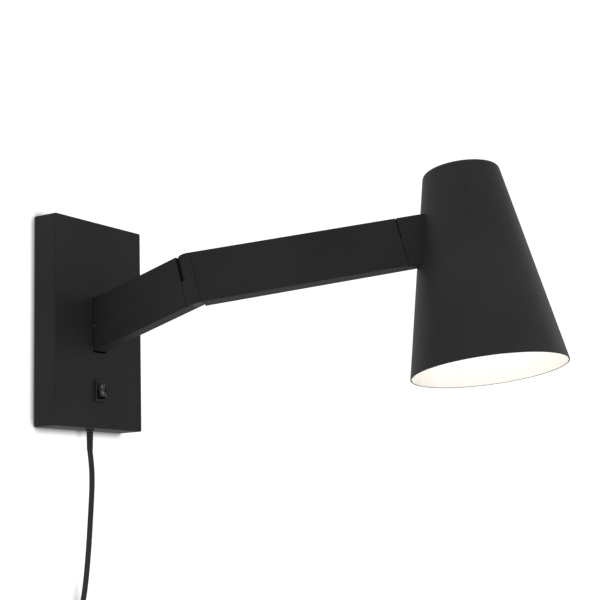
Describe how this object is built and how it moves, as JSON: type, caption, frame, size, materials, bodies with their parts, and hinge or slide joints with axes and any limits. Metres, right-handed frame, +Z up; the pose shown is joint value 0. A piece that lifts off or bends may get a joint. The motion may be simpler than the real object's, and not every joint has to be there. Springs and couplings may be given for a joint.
{
  "type": "swing arm wall sconce",
  "caption": "Plug-in wall lamp: box plate with a rocker switch, flat two-part arm with a lapped elbow, and a cone shade that turns on its end.",
  "frame": {"origin": "middle of the wall plate's back, on the wall", "axes": "+Y into the wall, +Z up, +X to the right along the wall; the arms reach out along -Y"},
  "size_m": [0.3312, 0.4192, 0.5475],
  "materials": {
    "plate_paint": "matt black powder coat",
    "arm_paint": "matt black powder coat",
    "shade_paint": "matt black powder coat outside, white inside",
    "black_screw": "blackened steel",
    "zinc_steel": "zinc plated",
    "die_cast": "as cast",
    "brass": "stamped",
    "nylon": "black nylon",
    "switch_plastic": "fine satin",
    "rocker_plastic": "semi gloss",
    "white_plastic": "moulded",
    "tie_plastic": "soft strap",
    "plug_plastic": "moulded PVC",
    "cord_pvc": "smooth PVC jacket",
    "wire_pvc": "silicone insulation",
    "holder_plastic": "moulded",
    "bulb_metal": "stamped thread",
    "bulb_glass": "opal, lit"
  },
  "bodies": {
    "base": {"wall_bracket": "zinc_steel", "wall_cover": "plate_paint", "cover_screws": "black_screw", "root_tongue": "zinc_steel", "tongue_screws": "zinc_steel", "switch_body": "switch_plastic", "switch_terminals": "brass", "terminal_block": "white_plastic", "terminal_screws": "brass", "cord_clamp": "white_plastic", "clamp_screws": "zinc_steel", "cable_tail": "cord_pvc", "cord_relief": "cord_pvc", "cord": "cord_pvc", "cord_coil": "cord_pvc", "cord_tail": "cord_pvc", "cord_tie": "tie_plastic", "plug_body": "plug_plastic", "plug_blades": "brass"},
    "rocker": {"switch_rocker": "rocker_plastic"},
    "arm1": {"arm1_shell": "arm_paint", "root_pin": "zinc_steel", "root_washers": "nylon", "elbow_lower_knuckle": "arm_paint", "elbow_pin": "zinc_steel", "elbow_washer": "nylon", "elbow_spring_washer": "zinc_steel", "elbow_nut": "zinc_steel", "elbow_cap": "nylon", "arm1_wire": "wire_pvc"},
    "arm2": {"arm2_shell": "arm_paint", "elbow_upper_knuckle": "arm_paint", "arm2_end_block": "die_cast", "arm2_wire": "wire_pvc"},
    "head": {"head_block": "arm_paint", "head_spindle": "zinc_steel", "head_washer": "nylon", "head_spring_washer": "zinc_steel", "head_nut": "zinc_steel", "shade": "shade_paint", "shade_screws": "black_screw", "holder_strap": "zinc_steel", "strap_screws": "shade_paint", "holder_nipple": "zinc_steel", "holder_nut": "zinc_steel", "holder_cap": "holder_plastic", "holder_body": "holder_plastic", "holder_ring": "holder_plastic", "socket_contact": "brass", "bulb_cap": "bulb_metal", "bulb_glass": "bulb_glass"}
  },
  "joints": [
    {"name": "arm_pitch", "type": "hinge", "parent": "base", "child": "arm1", "pos_m": [0, -0.0235, -0.001], "axis": [-1, 0, 0], "range_deg": [-30, 0]},
    {"name": "elbow_swing", "type": "hinge", "parent": "arm1", "child": "arm2", "pos_m": [0, -0.13796, 0.02967], "axis": [0, 0.2588, 0.9659], "range_deg": [-80, 45]},
    {"name": "head_turn", "type": "hinge", "parent": "arm2", "child": "head", "pos_m": [0.14531, -0.27832, 0.06728], "axis": [0.7071, -0.683, 0.183], "range_deg": [-175, 165]},
    {"name": "switch_rock", "type": "hinge", "parent": "base", "child": "rocker", "pos_m": [0, -0.0245, -0.064], "axis": [-1, 0, 0], "range_deg": [-20, 0]}
  ]
}
